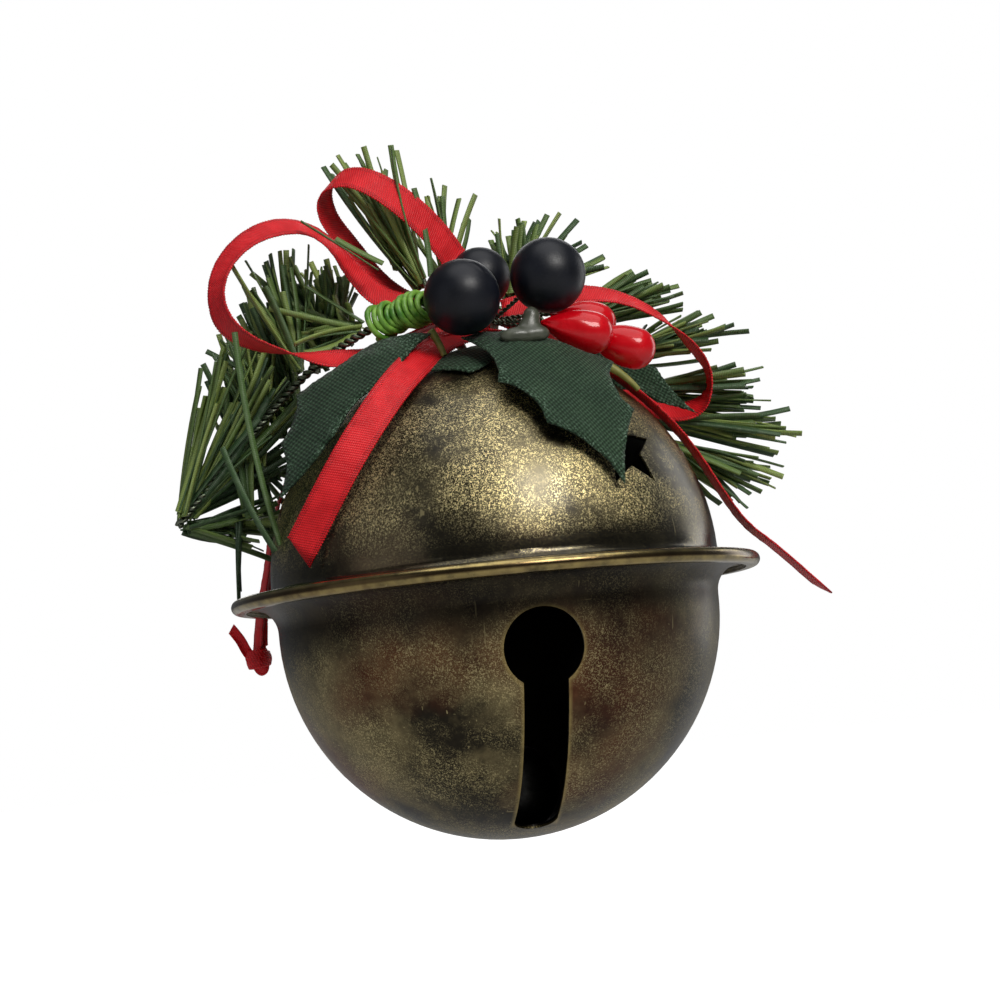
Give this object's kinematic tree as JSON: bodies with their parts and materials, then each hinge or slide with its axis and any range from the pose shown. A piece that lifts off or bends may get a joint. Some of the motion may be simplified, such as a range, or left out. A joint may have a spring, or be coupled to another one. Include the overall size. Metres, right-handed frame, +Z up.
{
  "type": "christmas bell ornament",
  "caption": "Antique brass jingle bell with keyhole slots and star cut-outs, dressed with artificial pine, holly, berries and a red ribbon bow, and hung from a crown loop.",
  "frame": {"origin": "middle of the crown loop's eye, where the ornament hangs", "axes": "+Z up along the bell's axis; one keyhole faces -Y; the long bow tail hangs towards +X"},
  "size_m": [0.1213, 0.1, 0.1352],
  "materials": {
    "antique_brass": "antiqued, satin",
    "ball_steel": "satin",
    "loop_wire": "antiqued",
    "red_satin": "woven satin",
    "pine_film": "embossed film",
    "stem_wire": "green-wrapped wire",
    "binding_green": "plastic-coated wire",
    "holly_cloth": "woven, starched",
    "olive_plastic": "moulded",
    "navy_berry": "matt, waxy",
    "red_lacquer": "lacquered",
    "hot_glue": "translucent, set glue"
  },
  "bodies": {
    "ornament": {"binding_wire": "binding_green", "bow_knot": "red_satin", "bow_loop_left": "red_satin", "bow_loop_right": "red_satin", "bow_loop_upper": "red_satin", "bow_tail_left": "red_satin", "bow_tail_right": "red_satin", "crown_loop": "loop_wire", "dark_berry_left": "navy_berry", "dark_berry_middle": "navy_berry", "dark_berry_right": "navy_berry", "dark_berry_wires": "stem_wire", "glue_blob": "hot_glue", "hanger_knot": "red_satin", "hanger_strand_left": "red_satin", "hanger_strand_right": "red_satin", "holly_leaf_front": "holly_cloth", "holly_leaf_left": "holly_cloth", "holly_leaf_right": "holly_cloth", "holly_leaf_under": "holly_cloth", "leaf_stems": "olive_plastic", "lower_bowl": "antique_brass", "needles_crown_right": "pine_film", "needles_left_end_lower": "pine_film", "needles_left_end_middle": "pine_film", "needles_left_end_upper": "pine_film", "needles_left_front": "pine_film", "needles_left_inner": "pine_film", "needles_left_middle": "pine_film", "needles_left_short": "pine_film", "needles_right_fifth": "pine_film", "needles_right_first": "pine_film", "needles_right_fourth": "pine_film", "needles_right_second": "pine_film", "needles_right_third": "pine_film", "needles_top_left": "pine_film", "needles_top_right": "pine_film", "pine_stem_left": "stem_wire", "pine_stem_right": "stem_wire", "pine_stem_upper": "stem_wire", "red_berry_back": "red_lacquer", "red_berry_front": "red_lacquer", "red_berry_outer": "red_lacquer", "red_berry_wires": "stem_wire", "upper_shell": "antique_brass"},
    "ball": {"loose_ball": "ball_steel"}
  },
  "joints": [
    {"name": "ball_roll", "type": "hinge", "parent": "ornament", "child": "ball", "pos_m": [0, 0, -0.0561], "axis": [0, 1, 0], "continuous": true}
  ]
}
